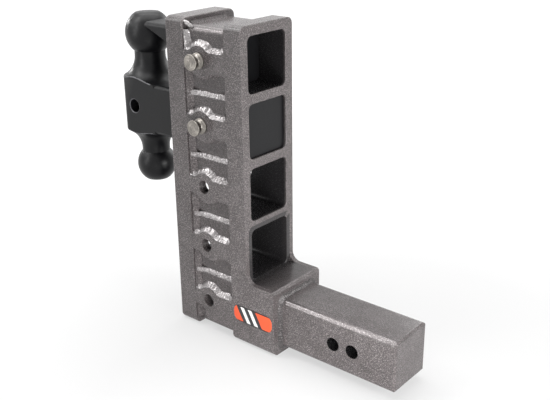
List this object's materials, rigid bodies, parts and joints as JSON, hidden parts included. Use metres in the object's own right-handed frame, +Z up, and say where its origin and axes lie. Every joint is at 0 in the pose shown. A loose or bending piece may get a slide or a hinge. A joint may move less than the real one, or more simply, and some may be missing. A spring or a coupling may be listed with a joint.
{
  "type": "trailer hitch with ball",
  "caption": "Height-adjustable towing hitch: welded tower of stacked square receivers on a square shank, with a pinned double-ball mount and a pinned pintle lock.",
  "frame": {"origin": "centre of the outer hitch-pin hole through the shank", "axes": "+X along the shank towards the vehicle, Y along the pins, +Z up"},
  "size_m": [0.4325, 0.1256, 0.3922],
  "materials": {
    "grey_coat": "hammertone powder coat",
    "weld_bead": "coated weld bead",
    "satin_black": "satin black coat",
    "stainless": "turned stainless",
    "decal_film": "printed film"
  },
  "bodies": {
    "tower": {"front_collar": "grey_coat", "receiver_tube_1": "grey_coat", "receiver_tube_2": "grey_coat", "receiver_tube_3": "grey_coat", "receiver_tube_4": "grey_coat", "receiver_tube_5": "grey_coat", "side_plate_near": "grey_coat", "side_plate_far": "grey_coat", "rear_top_bar": "grey_coat", "foot_top_plate": "grey_coat", "foot_bottom_plate": "grey_coat", "shank": "grey_coat", "shank_weld": "weld_bead", "seam_welds_near": "weld_bead", "seam_welds_far": "weld_bead", "finger_welds_near": "weld_bead", "finger_welds_far": "weld_bead", "collar_welds_near": "weld_bead", "collar_welds_far": "weld_bead", "collar_weld_top": "weld_bead", "collar_weld_bottom": "weld_bead", "ball_mount": "satin_black", "pintle_lock": "satin_black", "decal": "decal_film"},
    "upper_pin": {"hitch_pin_upper": "stainless"},
    "upper_clip": {"clip_upper": "stainless"},
    "lower_pin": {"hitch_pin_lower": "stainless"},
    "lower_clip": {"clip_lower": "stainless"}
  },
  "joints": [
    {"name": "upper_pin_slide", "type": "slide", "parent": "tower", "child": "upper_pin", "axis": [0, -1, 0], "range_m": [0, 0.0127]},
    {"name": "upper_clip_pull", "type": "slide", "parent": "upper_pin", "child": "upper_clip", "axis": [-1, 0, 0], "range_m": [0, 0.032]},
    {"name": "lower_pin_slide", "type": "slide", "parent": "tower", "child": "lower_pin", "axis": [0, -1, 0], "range_m": [0, 0.0127]},
    {"name": "lower_clip_pull", "type": "slide", "parent": "lower_pin", "child": "lower_clip", "axis": [-1, 0, 0], "range_m": [0, 0.032]}
  ]
}
